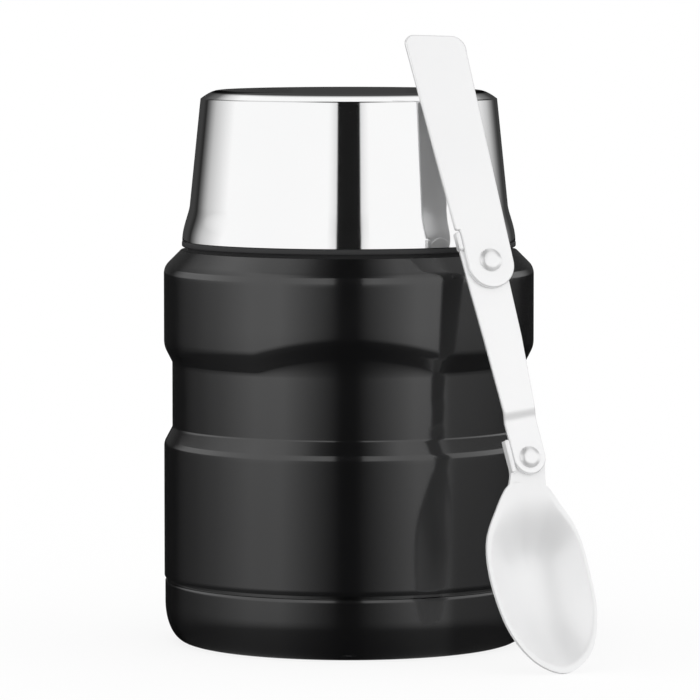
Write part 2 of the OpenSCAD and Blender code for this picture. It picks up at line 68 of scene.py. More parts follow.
camera_data = bpy.data.cameras.new("camera")
camera_data.sensor_width = 36
camera_data.lens = 36 * LENS_SCALE
camera = bpy.data.objects.new("camera", camera_data)
camera.location = CAMERA_AT
camera.rotation_euler = (LOOKS_AT - CAMERA_AT).to_track_quat("-Z", "Y").to_euler()
bpy.context.scene.collection.objects.link(camera)
bpy.context.scene.camera = camera
print("lens", round(camera_data.lens, 1), "mm")

# %% [markdown]
# ## Helpers for modelling
# Almost every piece is turned about the jar's axis, so one helper does what a hand would do in
# edit mode: it starts from a circle, extrudes its edge, and scales and moves each new ring to its
# place. A ring of radius 0 closes the form at the axis. The same circle-and-extrude habit also
# makes flat sheets, from an outline that is filled and given its thickness.

# %% Modelling helpers
def deselect():
    if bpy.context.object and bpy.context.object.mode != "OBJECT":
        bpy.ops.object.mode_set(mode="OBJECT")
    bpy.ops.object.select_all(action="DESELECT")


def activate(obj):
    deselect()
    obj.select_set(True)
    bpy.context.view_layer.objects.active = obj


def place(obj):
    """Moves the object's own place, turn and scale into its mesh."""
    activate(obj)
    bpy.ops.object.transform_apply(location=True, rotation=True, scale=True)


def outwards(obj):
    activate(obj)
    bpy.ops.object.mode_set(mode="EDIT")
    bpy.ops.mesh.select_all(action="SELECT")
    bpy.ops.mesh.remove_doubles(threshold=1e-7)
    bpy.ops.mesh.normals_make_consistent(inside=False)
    bpy.ops.object.mode_set(mode="OBJECT")


def smooth(obj, angle=30):
    activate(obj)
    bpy.ops.object.shade_smooth_by_angle(angle=math.radians(angle))


def arc(centre, radius, start, end, steps=8):
    """Points of an arc in the (radius, height) plane, in degrees from the horizontal."""
    turns = [math.radians(start + (end - start) * k / steps) for k in range(steps + 1)]
    return [(centre[0] + radius * math.cos(t), centre[1] + radius * math.sin(t)) for t in turns]


def lathe(name, profile, columns=192):
    """A turned piece from a profile of (radius, height) points in millimetres."""
    deselect()
    r, z = profile[0]
    bpy.ops.mesh.primitive_circle_add(vertices=columns, radius=max(r, 0.001) * MM, location=(0, 0, z * MM))
    obj = bpy.context.object
    obj.name = name
    place(obj)
    bpy.ops.object.mode_set(mode="EDIT")
    bpy.ops.mesh.select_all(action="SELECT")
    last_r, last_z = max(r, 0.001), z
    for r, z in profile[1:]:
        bpy.ops.mesh.extrude_edges_move(TRANSFORM_OT_translate={"value": (0, 0, (z - last_z) * MM)})
        k = max(r, 0.001) / last_r
        bpy.ops.transform.resize(value=(k, k, 1), center_override=(0, 0, z * MM))
        last_r, last_z = max(r, 0.001), z
    bpy.ops.mesh.select_all(action="SELECT")
    bpy.ops.mesh.remove_doubles(threshold=2e-6)
    bpy.ops.mesh.normals_make_consistent(inside=False)
    bpy.ops.object.mode_set(mode="OBJECT")
    smooth(obj)
    print(name, len(obj.data.polygons), "faces")
    return obj

# %% [markdown]
# ## Shader maths in Python
# Procedural finishes need a little arithmetic on masks and noise. Wiring Math nodes by hand is
# hard to read, so a small class wraps a socket: adding or multiplying two wrapped sockets adds
# the Math node that does it. Everything else goes through one method that makes a node from its
# type, its settings and its inputs.

# %% Shader helpers
class Wire:
    """A number that changes over the surface, with Python's operators."""

    def __init__(self, paint, socket):
        self.paint, self.socket = paint, socket

    def maths(self, operation, *others):
        inputs = {k: v for k, v in enumerate((self, *others))}
        return self.paint.node("ShaderNodeMath", {"operation": operation}, inputs)

    def __add__(self, other):
        return self.maths("ADD", other)

    def __mul__(self, other):
        return self.maths("MULTIPLY", other)

    def __sub__(self, other):
        return self.maths("SUBTRACT", other)

    def __rsub__(self, other):
        return self.paint.node("ShaderNodeMath", {"operation": "SUBTRACT"}, {0: other, 1: self})

    __radd__ = __add__
    __rmul__ = __mul__


class Paint:
    """A material under construction."""

    def __init__(self, name, **constants):
        self.material = bpy.data.materials.new(name)
        self.material.use_nodes = True
        self.tree = self.material.node_tree
        self.shader = self.tree.nodes["Principled BSDF"]
        for key, value in constants.items():
            self.shader.inputs[key.replace("_", " ")].default_value = value

    def node(self, kind, settings=None, inputs=None, output=0):
        """A node of that kind, its settings first, then its inputs by name or number."""
        made = self.tree.nodes.new(kind)
        for key, value in (settings or {}).items():
            if key == "stops":
                ramp = made.color_ramp
                while len(ramp.elements) < len(value):
                    ramp.elements.new(0.5)
                for element, (at, shade) in zip(ramp.elements, value):
                    element.position, element.color = at, (*shade, 1)
            else:
                setattr(made, key, value)
        for key, value in (inputs or {}).items():
            if isinstance(value, Wire):
                self.tree.links.new(value.socket, made.inputs[key])
            elif value is not None:
                made.inputs[key].default_value = value
        return Wire(self, made.outputs[output])

    def coordinates(self, scale=(1, 1, 1), turn=(0, 0, 0)):
        """Object coordinates in millimetres, stretched and turned for a pattern."""
        here = self.node("ShaderNodeTexCoord", output="Object")
        return self.node("ShaderNodeMapping", {}, {
            "Vector": here, "Scale": [s / MM for s in scale], "Rotation": [math.radians(t) for t in turn]})

    def noise(self, scale, detail=2, stretch=(1, 1, 1), turn=(0, 0, 0)):
        return self.node("ShaderNodeTexNoise", {}, {
            "Vector": self.coordinates(stretch, turn), "Scale": scale, "Detail": detail})

    def between(self, mask, low, high):
        """A number from low to high as the mask goes from 0 to 1."""
        return mask * (high - low) + low

    def mix(self, mask, a, b):
        """A colour between a and b."""
        made = self.node("ShaderNodeMix", {"data_type": "RGBA"}, {0: mask}, output=2)
        for index, value in ((6, a), (7, b)):
            if isinstance(value, Wire):
                self.tree.links.new(value.socket, made.socket.node.inputs[index])
            else:
                made.socket.node.inputs[index].default_value = (*value, 1)
        return made

    def feed(self, **links):
        for key, value in links.items():
            self.tree.links.new(value.socket, self.shader.inputs[key.replace("_", " ")])

    def bump(self, height, depth_mm, strength=1.0):
        self.feed(Normal=self.node("ShaderNodeBump", {}, {
            "Height": height, "Distance": depth_mm * MM, "Strength": strength}))


def finish_with(obj, material):
    obj.data.materials.clear()
    obj.data.materials.append(material)


# %% [markdown]
# ## Finishes
# The lid is buffed to a mirror, so it is a metal with almost no roughness, and only faint
# cloudiness from the buffing wheel. The body carries a smooth black coat: a dark base under a
# slightly soft gloss, with the very fine orange peel that sprayed coats have. The spoon is satin
# steel, brushed along its length.

# %% Steel finishes
def polished_steel():
    p = Paint("steel_polished", Metallic=1.0, Anisotropic=0.0)
    clouds = p.noise(0.035, detail=3)
    buffing = p.noise(0.5, detail=2, stretch=(0.04, 0.04, 6))
    p.feed(
        Base_Color=p.mix(clouds, (0.92, 0.922, 0.925), (0.96, 0.96, 0.96)),
        Roughness=p.between(clouds * 0.6 + buffing * 0.4, 0.035, 0.075))
    p.bump(buffing, 0.002, 0.12)
    return p.material


def satin_steel(name, turn=(0, 0, 0), along=(6, 0.05, 6), rough=(0.24, 0.36), tone=0.87, metal=1.0):
    p = Paint(name, Metallic=metal)
    lines = p.noise(1.2, detail=3, stretch=along, turn=turn)
    clouds = p.noise(0.06, detail=2)
    p.feed(
        Base_Color=p.mix(clouds, (tone - 0.02, tone - 0.02, tone - 0.015), (tone + 0.02,) * 3),
        Roughness=p.between(lines * 0.7 + clouds * 0.3, *rough))
    p.bump(lines, 0.004, 0.25)
    return p.material


STEEL_POLISHED = polished_steel()
STEEL_SATIN = satin_steel("steel_satin", along=(0.05, 0.05, 8), tone=0.72)
STEEL_SPOON = satin_steel("spoon_steel", along=(3, 3, 0.12), rough=(0.3, 0.38), tone=0.95, metal=0.5)
STEEL_BOWL = satin_steel("bowl_steel", along=(3, 3, 0.12), rough=(0.46, 0.56), tone=0.96, metal=0.45)


# %% Coat, plastics and rubber
def black_coat():
    p = Paint("black_coat", Metallic=0.0, Coat_Weight=1.0, Coat_Roughness=0.09, Specular_IOR_Level=0.5)
    peel = p.noise(1.1, detail=2)
    clouds = p.noise(0.05, detail=2)
    p.feed(
        Base_Color=p.mix(clouds, (0.004, 0.004, 0.0043), (0.006, 0.006, 0.0063)),
        Roughness=p.between(peel * 0.5 + clouds * 0.5, 0.12, 0.2))
    p.bump(peel, 0.004, 0.1)
    return p.material


def moulded_plastic(name, shade, rough=(0.42, 0.55), grain_mm=0.02):
    p = Paint(name, Metallic=0.0)
    grain = p.noise(3.5, detail=2)
    clouds = p.noise(0.05, detail=2)
    light = tuple(c * 1.25 + 0.002 for c in shade)
    p.feed(Base_Color=p.mix(clouds, shade, light), Roughness=p.between(grain, *rough))
    p.bump(grain, grain_mm, 0.3)
    return p.material


def soft_rubber(name, shade, rough=(0.55, 0.7)):
    p = Paint(name, Metallic=0.0)
    grain = p.noise(2.2, detail=3)
    p.feed(
        Base_Color=p.mix(grain, shade, tuple(min(1, c * 1.15 + 0.003) for c in shade)),
        Roughness=p.between(grain, *rough))
    p.bump(grain, 0.015, 0.25)
    return p.material


BLACK_COAT = black_coat()
BLACK_PLASTIC = moulded_plastic("black_plastic", (0.02, 0.02, 0.022))
GREY_PLASTIC = moulded_plastic("grey_plastic", (0.045, 0.045, 0.048))
DARK_RUBBER = soft_rubber("dark_rubber", (0.02, 0.02, 0.021))
SILICONE = soft_rubber("silicone", (0.78, 0.78, 0.76), rough=(0.35, 0.5))


# %% More metals, and foam
def dull_metal(name, shade, rough=(0.4, 0.6), grain=1.5):
    p = Paint(name, Metallic=1.0)
    stain = p.noise(0.25, detail=4)
    grit = p.noise(grain, detail=3)
    p.feed(
        Base_Color=p.mix(stain, tuple(c * 0.82 for c in shade), shade),
        Roughness=p.between(grit * 0.6 + stain * 0.4, *rough))
    p.bump(grit, 0.02, 0.3)
    return p.material


def open_foam():
    p = Paint("foam", Metallic=0.0)
    cells = p.node("ShaderNodeTexVoronoi", {"feature": "F1"}, {"Vector": p.coordinates(), "Scale": 1.6})
    p.feed(
        Base_Color=p.mix(cells, (0.86, 0.8, 0.62), (0.7, 0.62, 0.45)),
        Roughness=p.between(cells, 0.85, 0.95))
    p.bump(cells, 0.2, 0.6)
    return p.material


STEEL_RIVET = satin_steel("rivet_steel", along=(1, 1, 1), rough=(0.26, 0.34), tone=0.93, metal=0.6)
SEAL_BRAZE = dull_metal("seal_braze", (0.62, 0.42, 0.18))
GETTER_ALLOY = dull_metal("getter_alloy", (0.3, 0.3, 0.32), rough=(0.6, 0.8))
COPPER_FOIL = dull_metal("copper_foil", (0.75, 0.45, 0.3), rough=(0.2, 0.35), grain=0.6)
FOAM = open_foam()

# %% [markdown]
# ## World, floor and dark cards
# Product shots of polished steel are lit by one big white surround, with dark cards that give the
# mirror something to show. The world is plain white at strength 1, so every colour renders about
# as it is written. A dark arch with a grey border runs from the front over the jar and draws the
# dark line down the lid's middle. Dark panels behind the jar draw the lid's dark side edges, and a
# dark card above them shades the bevel of its top. The walls of the body mirror a low surround,
# and its shoulder and slopes mirror lamps overhead. Both of these fade from dark in the middle to
# white at the sides and to dark again, as two large soft lamps would.
# The cards are only seen in reflections. The floor is white and keeps a faint shadow of the jar.

# %% World
world = bpy.data.worlds.new("white_surround")
world.use_nodes = True
world.node_tree.nodes["Background"].inputs["Color"].default_value = (1, 1, 1, 1)
world.node_tree.nodes["Background"].inputs["Strength"].default_value = 1.0
bpy.context.scene.world = world
bpy.context.scene.view_settings.view_transform = "Standard"


# %% Helpers for cards
CARD_DISTANCE = 1.2                # metres from the jar's axis
CARD_MIDDLE = 0.1                  # height that the cards bend about
NEARER, BETWEEN = 0.98, 0.99       # shares of the distance for cards in front of others


def card(name, tone, columns, rows, at):
    """A bent sheet seen only in reflections, from a grid and a rule that places its points."""
    deselect()
    bpy.ops.mesh.primitive_grid_add(x_subdivisions=columns, y_subdivisions=rows, size=1)
    obj = bpy.context.object
    obj.name = name
    for vertex in obj.data.vertices:
        vertex.co = Vector(at(vertex.co.x + 0.5, vertex.co.y + 0.5)) * CARD_DISTANCE
        vertex.co.z += CARD_MIDDLE
    paint = Paint(name)
    here = paint.node("ShaderNodeTexCoord", output="Object")
    x, y, z = (paint.node("ShaderNodeSeparateXYZ", {}, {0: here}, output=k) * (1 / CARD_DISTANCE)
               for k in range(3))
    strength = tone(paint, x, y, z - CARD_MIDDLE / CARD_DISTANCE) if callable(tone) else tone
    glow = paint.node("ShaderNodeEmission", {}, {"Color": (1, 1, 1, 1), "Strength": strength})
    paint.tree.links.new(glow.socket, paint.tree.nodes["Material Output"].inputs["Surface"])
    obj.data.materials.append(paint.material)
    for ray in ("camera", "diffuse", "shadow", "transmission", "volume_scatter"):
        setattr(obj, "visible_" + ray, False)


def around(turn, lift):
    """A direction, from degrees to the right of the camera and degrees up."""
    turn, lift = math.radians(turn), math.radians(lift)
    return math.cos(lift) * math.sin(turn), -math.cos(lift) * math.cos(turn), math.sin(lift)


SIGHT = Vector((0, 0.998, -0.06))  # direction of sight, from the front and slightly down


def mirrored(side, tip):
    """The direction that a face mirrors to the front, from its degrees to the right and up."""
    return SIGHT.reflect(Vector(around(side, tip)))


def turn_of(x, y):
    """Twice the angle to the side of the face that mirrors a direction to the front."""
    return x.maths("ARCTAN2", 1 - y) * (360 / math.pi)


def fade(paint, mask, low, high, *stops):
    """A tone that changes softly between stops as the mask goes from low to high."""
    share = (mask - low) * (1 / (high - low))
    return paint.node("ShaderNodeValToRGB", {
        "stops": [((at - low) / (high - low), (tone,) * 3) for at, tone in stops]}, {0: share})


# %% Cards for the lid
CARDS_MEET = -2                    # lift at which the low surround ends and the lid's cards begin
ARCH_HALF_WIDTH = 8.1              # degrees either side of the middle, as the jar sees it
ARCH_END = 126                     # lift at which the arch ends, past the jar's top
BORDER_HALF, BORDER_RISE = 15, 34  # degrees either side of the middle, and degrees up
PANELS_FROM, PANELS_TO = 96, 24    # direction where the side panels begin, and their top
FACES_SIDE = 88                    # faces up to this far to each side have a mirrored card
SLOPE_TIP, BEVEL_TIP, TOP_TIP = 20.5, 50, 80   # how far these faces tip up, in degrees


def arch(u, v):
    lift = CARDS_MEET + (ARCH_END - CARDS_MEET) * v
    x, y, z = around(0, lift)
    half = math.sin(math.radians(ARCH_HALF_WIDTH)) * math.cos(math.radians(lift / 2)) ** 2
    return half * (2 * u - 1), NEARER * y, NEARER * z


def arch_border(u, v):
    return around(BORDER_HALF * (2 * u - 1), CARDS_MEET + BORDER_RISE * v)


def border_tone(paint, x, y, z):
    return fade(paint, x.maths("ABSOLUTE"), 0, 0.3, (0.13, 0.55), (0.16, 0.8), (0.25, 1))


def panels(u, v):
    return around(PANELS_FROM + (360 - 2 * PANELS_FROM) * u, CARDS_MEET + (PANELS_TO - CARDS_MEET) * v)


def panel_tone(paint, x, y, z):
    turn = x.maths("ARCTAN2", y * -1) * (180 / math.pi)
    dark = fade(
        paint, turn, -180, 180, (-150, 0.05), (-141, 0.02), (-134, 0.16), (-122, 0.55), (-97, 1),
        (97, 1), (121, 0.78), (132, 0.54), (140, 0.27), (147, 0.09), (153, 0.04), (160, 0.05))
    high = fade(paint, z, 0, 1, (0.2, 0), (0.4, 1)) * fade(
        paint, turn, -180, 180, (-160, 0), (-148, 1), (148, 1), (160, 0))
    return dark + high * (1 - dark)


def back(u, v):
    return mirrored(FACES_SIDE * (2 * u - 1), BEVEL_TIP + (TOP_TIP - BEVEL_TIP) * v) * NEARER


def back_tone(paint, x, y, z):
    x, y, z = (c * (1 / NEARER) for c in (x, y, z))
    round_about = fade(
        paint, turn_of(x, y), -180, 180, (-150, 0.05), (-128, 0.15), (-110, 0.7), (-95, 1),
        (95, 1), (112, 0.6), (130, 0.2), (150, 0.05))
    rise = ((z + 0.06) * (z + 0.06)).maths("DIVIDE", z * 0.12 + 2.001 - y * 2)
    return round_about * fade(paint, rise, 0, 1, (0.74, 1), (0.81, 0.06))


card("dark_arch", 0.008, 4, 90, arch)
card("arch_border", border_tone, 12, 12, arch_border)
card("dark_panels", panel_tone, 60, 12, panels)
card("dark_back", back_tone, 48, 24, back)


# %% Lamps for the body
def low_surround(u, v):
    return around(-180 + 360 * u, -89 + (89 + CARDS_MEET) * v)


def top_lamps(u, v):
    return mirrored(FACES_SIDE * (2 * u - 1), SLOPE_TIP + (BEVEL_TIP - SLOPE_TIP) * v) * BETWEEN


def low_tone(paint, x, y, z):
    round_about = fade(
        paint, turn_of(x, y), -180, 180, (-133, 0.015), (-108, 0.17), (-88, 0.42), (-62, 0.95), (-42, 1),
        (-20, 0.38), (-5, 0), (5, 0), (20, 0.38), (42, 1), (60, 0.95), (67, 0.42), (90, 0.3), (133, 0.015))
    height = fade(paint, z, -1, 0, (-0.87, 0.1), (-0.4, 0.15), (-0.22, 0.62), (-0.14, 0.74), (-0.09, 1))
    return round_about * height


def top_tone(paint, x, y, z):
    x, y, z = (c * (1 / BETWEEN) for c in (x, y, z))
    round_about = fade(
        paint, turn_of(x, y), -180, 180, (-133, 0.05), (-108, 0.32), (-88, 0.66), (-62, 1), (-42, 0.97),
        (-30, 0.68), (-20, 0.25), (-10, 0.05), (10, 0.08), (19, 0.4), (32, 0.95), (58, 0.9),
        (68, 0.4), (133, 0.05))
    return round_about * fade(paint, z, 0, 1, (0.3, 1), (0.75, 0.95), (0.86, 0.66))


card("low_surround", low_tone, 90, 30, low_surround)
card("top_lamps", top_tone, 90, 24, top_lamps)

# %% Floor
FLOOR_RADIUS = 0.9
SHADOW_SHARE = 0.16                # how much of the floor's own shading shows

deselect()
bpy.ops.mesh.primitive_circle_add(vertices=96, radius=FLOOR_RADIUS, fill_type="NGON", location=(0, 0, 0))
floor = bpy.context.object
floor.name = "floor"
floor.visible_glossy = False
paint = Paint("floor_white", Roughness=0.9, Base_Color=(1, 1, 1, 1), Specular_IOR_Level=0.0)
glow = paint.node("ShaderNodeEmission", {}, {"Color": (1, 1, 1, 1), "Strength": 1.0})
blend = paint.node("ShaderNodeMixShader", {}, {0: 1 - SHADOW_SHARE})
paint.tree.links.new(paint.shader.outputs[0], blend.socket.node.inputs[1])
paint.tree.links.new(glow.socket, blend.socket.node.inputs[2])
paint.tree.links.new(blend.socket, paint.tree.nodes["Material Output"].inputs["Surface"])
floor.data.materials.append(paint.material)
print("floor", FLOOR_RADIUS, "m in radius")


# %% [markdown]
# ## Outer shell
# The shell is drawn from one sheet of steel: two bands, a narrower waist between them, and a
# shoulder at 45 degrees. It is turned from its outline, outside and inside, so that the sheet is
# closed. The waist's upper edge rises in an arch at the front, which no turned form has. There
# the points of the slope above the waist are lifted, highest in the middle.

# %% Sizes of the body
def span(node):
    """Largest radius and lowest and highest points of a turned node, in millimetres."""
    low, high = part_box(node)
    return high.x / MM, low.z / MM, high.z / MM


BAND_R, TAIL_Z, SHOULDER_Z = span("outer_shell")
BASE_R, _, BASE_TOP_Z = span("shell_base")
RING_R, _, LID_LOW_Z = span("cup_ring")
LID_RIM_R, _, TOTAL_H = span("cup_shell")
NECK_R, _, _ = span("threaded_neck")
SHELL_WALL = 0.8
GROOVE = 0.8
WAIST_R = BAND_R - 2.1
WAIST_LOW_Z, WAIST_HIGH_Z = 54.6, 71.1
RIM_R = BAND_R - 4.3
HIGH_SLOPE, LOW_SLOPE = 27, 28     # lean of the waist's two edges, in degrees
HIGH_ROUND, LOW_ROUND, SHOULDER_ROUND = 6, 3.5, 4
ARCH_RISE, ARCH_HALF = 3.7, 30     # rise in millimetres, half angle in degrees


def slope_run(depth, radius, lean):
    """Height that a rounded slope needs to step out by a depth."""
    a = math.radians(lean)
    return (depth - radius * (1 - math.cos(a))) / math.tan(a) + radius * math.sin(a)


HIGH_START_Z = WAIST_HIGH_Z + slope_run(BAND_R - WAIST_R, HIGH_ROUND, HIGH_SLOPE)
LOW_START_Z = WAIST_LOW_Z - slope_run(BAND_R - WAIST_R, LOW_ROUND, LOW_SLOPE)
SHOULDER_START_Z = SHOULDER_Z + RIM_R - BAND_R + SHOULDER_ROUND * (1 - math.sqrt(2))
SHELL_LOW_Z = BASE_TOP_Z + GROOVE
TAIL_R = BASE_R - 1.0


def body_outline(inset):
    """The body's outline above its groove, set inwards."""
    i = inset
    low = math.tan(math.radians(LOW_SLOPE / 2)) * i
    high = math.tan(math.radians(HIGH_SLOPE / 2)) * i
    return [
        (BAND_R - i, SHELL_LOW_Z + 0.3 + i), (BAND_R - i, SHELL_LOW_Z + 1.5 + i),
        (BAND_R - i, LOW_START_Z - 1),
        *arc((BAND_R - LOW_ROUND, LOW_START_Z), LOW_ROUND - i, 0, LOW_SLOPE, 10),
        (WAIST_R - i + 0.21, WAIST_LOW_Z - low - 0.4), (WAIST_R - i + 0.05, WAIST_LOW_Z - low - 0.1),
        (WAIST_R - i, WAIST_LOW_Z - low + 0.05), (WAIST_R - i, WAIST_LOW_Z - low + 0.3),
        (WAIST_R - i, WAIST_LOW_Z + 1), (WAIST_R - i, WAIST_HIGH_Z - 1),
        (WAIST_R - i, WAIST_HIGH_Z + high - 0.05), (WAIST_R - i + 0.05, WAIST_HIGH_Z + high + 0.1),
        *arc((BAND_R - HIGH_ROUND, HIGH_START_Z), HIGH_ROUND - i, -HIGH_SLOPE, 0, 10),
        (BAND_R - i, HIGH_START_Z + 5), (BAND_R - i, SHOULDER_START_Z - 1),
        *arc((BAND_R - SHOULDER_ROUND, SHOULDER_START_Z), SHOULDER_ROUND - i, 0, 45, 10),
        (RIM_R - i * math.tan(math.radians(22.5)), SHOULDER_Z - i),
    ]


# %% Turn the shell
outer_shell = lathe("outer_shell_sheet", [
    (TAIL_R - SHELL_WALL, TAIL_Z), (TAIL_R, TAIL_Z), (TAIL_R, SHELL_LOW_Z), (BAND_R - 0.4, SHELL_LOW_Z),
    (BAND_R - 0.12, SHELL_LOW_Z + 0.09),
    *body_outline(0),
    (NECK_R + 0.05, SHOULDER_Z), (NECK_R + 0.05, SHOULDER_Z - SHELL_WALL),
    *reversed(body_outline(SHELL_WALL)),
    (TAIL_R - SHELL_WALL, SHELL_LOW_Z + SHELL_WALL), (TAIL_R - SHELL_WALL, TAIL_Z)])


def lift_arch(obj):
    """Lifts the slope above the waist at the front, highest in the middle."""
    low, high = (WAIST_HIGH_Z - 0.5) * MM, (HIGH_START_Z + 1.5) * MM
    half = math.radians(ARCH_HALF)
    for vertex in obj.data.vertices:
        off = math.atan2(vertex.co.x, -vertex.co.y)
        if low < vertex.co.z < high and abs(off) < half:
            vertex.co.z += ARCH_RISE * (1 - (math.sin(off) / math.sin(half)) ** 2) * MM


lift_arch(outer_shell)
finish_with(outer_shell, BLACK_COAT)
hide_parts("outer_shell")
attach(outer_shell, "jar")

# %% [markdown]
# ## Base cup
# A shallow cup is pressed over the shell's lower end, and a thin groove stays between the two.
# Its corner is widely rounded, and it stands on a ring round a shallow hollow.

# %% Base cup
CORNER_H, CORNER_W, FOOT_W, FOOT_HOLLOW, BASE_WALL = 10, 5.3, 5.5, 1.6, 0.9
FOOT_OUT_R = BASE_R - CORNER_W
FOOT_IN_R = FOOT_OUT_R - FOOT_W


def corner(inset, steps=14):
    turns = [math.radians(-90 + 90 * k / steps) for k in range(steps + 1)]
    return [(FOOT_OUT_R + (CORNER_W - inset) * math.cos(t), CORNER_H + (CORNER_H - inset) * math.sin(t))
            for t in turns]


shell_base = lathe("base_cup", [
    (0, FOOT_HOLLOW), (FOOT_IN_R - FOOT_HOLLOW - 1, FOOT_HOLLOW), (FOOT_IN_R - FOOT_HOLLOW, FOOT_HOLLOW),
    (FOOT_IN_R, 0), (FOOT_OUT_R - 0.8, 0), *corner(0), (BASE_R, BASE_TOP_Z - 1), (BASE_R, BASE_TOP_Z - 0.3),
    (BASE_R - 0.1, BASE_TOP_Z - 0.1), (BASE_R - 0.3, BASE_TOP_Z), (BASE_R - BASE_WALL, BASE_TOP_Z),
    *reversed(corner(BASE_WALL)),
    (FOOT_IN_R + BASE_WALL / 2, BASE_WALL),
    (FOOT_IN_R + BASE_WALL / 2 - FOOT_HOLLOW, FOOT_HOLLOW + BASE_WALL),
    (0, FOOT_HOLLOW + BASE_WALL)])
finish_with(shell_base, BLACK_COAT)
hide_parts("shell_base")
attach(shell_base, "jar")

# %% [markdown]
# ## Seat ring
# A dark ring of rubber lies on the shoulder, and the lid closes against its lip. Below the lip it
# steps back, which leaves a dark gap above the shoulder. Its outer edges are softly rounded, as on
# anything moulded.

# %% Seat ring
RING_IN_R = 40.2
EDGE = 0.35
LIP_LOW_Z, LIP_OUT = SHOULDER_Z + 0.9, 1.6
seat_ring = lathe("seat_ring_rubber", [
    (RING_IN_R, SHOULDER_Z), (RING_R - LIP_OUT, SHOULDER_Z), (RING_R - LIP_OUT, LIP_LOW_Z),
    *arc((RING_R - EDGE, LIP_LOW_Z + EDGE), EDGE, -90, 0, 4),
    *arc((RING_R - EDGE, LID_LOW_Z - EDGE), EDGE, 0, 90, 4),
    (RING_IN_R, LID_LOW_Z), (RING_IN_R, SHOULDER_Z)])
finish_with(seat_ring, DARK_RUBBER)
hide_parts("cup_ring")
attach(seat_ring, "seat_ring")

# %% [markdown]
# ## Lid
# The lid is spun steel: it flares out at its lower edge, tapers towards the top, and ends in a
# shallow bevel and a flat top. It reflects everything, so its outline has many close points. The
# bevel is crowned by two arcs that meet at one slope, and the flat top is shaded flat, so that it
# stays even in the mirror.

# %% Lid
FLARE_Z = LID_LOW_Z + 9.2
BEVEL_W, BEVEL_H = 3.6, 2.1
BEVEL_Z = TOTAL_H - BEVEL_H
LID_WALL = 0.8
LID_WALL_R, LID_TOP_R = 40.35, 37.6
FLARE_POWER = 1.4                  # how late the flare turns out
FLARE_STEPS, WALL_STEPS, INNER_STEPS = 26, 8, 12


def lid_radius(z):
    wall = LID_WALL_R + (LID_TOP_R - LID_WALL_R) * (z - FLARE_Z) / (BEVEL_Z - FLARE_Z)
    if z >= FLARE_Z:
        return wall
    bend = math.sin(math.radians(90 * (FLARE_Z - z) / (FLARE_Z - LID_LOW_Z)))
    return LID_WALL_R + (LID_RIM_R - LID_WALL_R) * bend ** FLARE_POWER


def lid_side(inset, low, high, steps):
    return [(lid_radius(low + (high - low) * k / steps) - inset, low + (high - low) * k / steps)
            for k in range(steps + 1)]


CROWN_LEAN = 27                    # slope of the crowned bevel where its two arcs meet
CROWN_MEETS = Vector((LID_TOP_R - 2.4, TOTAL_H - 0.6))


def crown(radius, start, end, steps):
    lean = math.radians(CROWN_LEAN)
    centre = CROWN_MEETS - radius * Vector((math.sin(lean), math.cos(lean)))
    return arc(centre, radius, start, end, steps)


lid_top = [
    (LID_TOP_R + 0.02, BEVEL_Z - 0.3), (LID_TOP_R, BEVEL_Z - 0.08),
    *crown(14.5, 52, 90 - CROWN_LEAN, 6), *crown(5.5, 90 - CROWN_LEAN, 90, 6)[1:],
    (20, TOTAL_H), (0, TOTAL_H)]
lid_under = [
    (0, TOTAL_H - LID_WALL), (LID_TOP_R - BEVEL_W, TOTAL_H - LID_WALL),
    (LID_TOP_R - LID_WALL, BEVEL_Z - 0.4)]
cup_shell = lathe("lid_steel", [
    *lid_side(0, LID_LOW_Z + 0.15, FLARE_Z, FLARE_STEPS),
    *lid_side(0, FLARE_Z + 3, BEVEL_Z - 1, WALL_STEPS),
    *lid_top, *lid_under, *reversed(lid_side(LID_WALL, LID_LOW_Z, FLARE_Z, INNER_STEPS)),
    (LID_RIM_R - 0.2, LID_LOW_Z), (LID_RIM_R, LID_LOW_Z + 0.15)], columns=256)
for face in cup_shell.data.polygons:
    face.use_smooth = face.use_smooth and face.center.z < (TOTAL_H - 0.01) * MM
finish_with(cup_shell, STEEL_POLISHED)
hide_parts("cup_shell")
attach(cup_shell, "cup")

# %% [markdown]
# ## Spoon
# The spoon is cut from one gauge of sheet steel: a bowl with a short stem, a middle link that
# steps forward over the bowl, and a flat handle, held by two rivets. It leans on the lid, turned
# a little to the right. Each piece is drawn flat, as its blank is, and then put in its place by
# one matrix, the spoon's own frame, whose pivot comes from the imported joints.

# %% The spoon's own frame
LEAN, TURN, TILT = 18.5, 20, 8     # degrees: from upright, to the right, in its own plane
SHEET, PLAY = 1.1, 0.06
STEP = SHEET + PLAY
folds = {joint["name"]: joint for joint in frame["joints"]}
pivot = Vector(folds["link_fold"]["pos_m"])
SPOON = (Matrix.Translation(pivot) @ Matrix.Rotation(math.radians(TURN), 4, "Z")
         @ Matrix.Rotation(math.radians(90 - LEAN), 4, "X") @ Matrix.Rotation(math.radians(TILT), 4, "Z")
         @ Matrix.Translation((0, 0, -SHEET * MM)))
UPPER = (1.85, 49.7)               # upper rivet, from the lower one
print("the spoon's front faces", [round(c, 3) for c in SPOON.to_3x3().col[2]])


# %% Helpers for sheet pieces
def in_spoon(obj, at=(0, 0)):
    """Takes a piece from its flat drawing to its place on the spoon."""
    obj.matrix_world = SPOON @ Matrix.Translation((at[0] * MM, at[1] * MM, 0))
    place(obj)
    return obj


